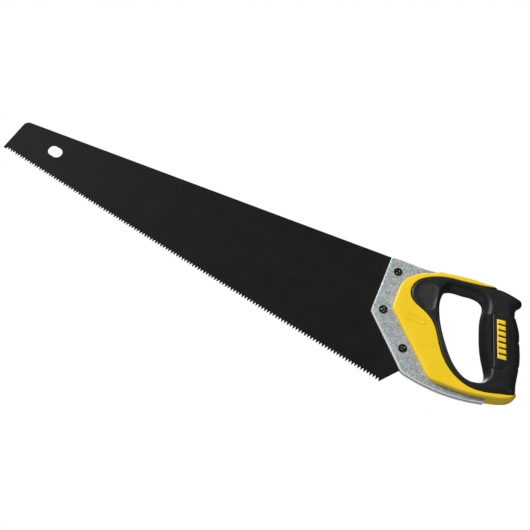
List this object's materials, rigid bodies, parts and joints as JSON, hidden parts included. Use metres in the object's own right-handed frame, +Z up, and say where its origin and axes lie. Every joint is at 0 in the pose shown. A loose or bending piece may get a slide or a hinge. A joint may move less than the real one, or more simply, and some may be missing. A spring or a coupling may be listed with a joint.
{
  "type": "hand saw",
  "caption": "Hand saw with a tapered black toothed blade, cast aluminium cheeks, and a yellow closed handle with a black rubber grip.",
  "frame": {"origin": "middle of the overall length and thickness, level with the lowest tooth tips", "axes": "+X along the tooth line from the toe to the handle, +Y through the blade's thickness towards the nut side, +Z up from the teeth to the back"},
  "size_m": [0.6327, 0.0334, 0.1609],
  "materials": {
    "blade_coating": "satin dark coating over spring steel",
    "cast_aluminium": "as-cast, lightly polished",
    "yellow_plastic": "satin moulded",
    "grip_rubber": "satin soft grip",
    "textured_rubber": "textured soft grip",
    "palm_rubber": "smooth satin",
    "pattern_ink": "flat",
    "fastener_steel": "black oxide"
  },
  "bodies": {
    "root": {"blade": "blade_coating", "cheek_left": "cast_aluminium", "cheek_right": "cast_aluminium", "handle_body": "yellow_plastic", "grip_rubber": "grip_rubber", "thumb_pad_left": "palm_rubber", "thumb_pad_right": "palm_rubber", "finger_pad": "textured_rubber", "loop_rim": "textured_rubber", "palm_panel_left": "palm_rubber", "palm_panel_right": "palm_rubber", "panel_mark_left": "pattern_ink", "panel_mark_right": "pattern_ink", "badge_left": "yellow_plastic", "badge_right": "yellow_plastic", "screw_top": "fastener_steel", "nut_top": "fastener_steel", "screw_mid": "fastener_steel", "nut_mid": "fastener_steel", "screw_low": "fastener_steel", "nut_low": "fastener_steel"}
  },
  "joints": []
}
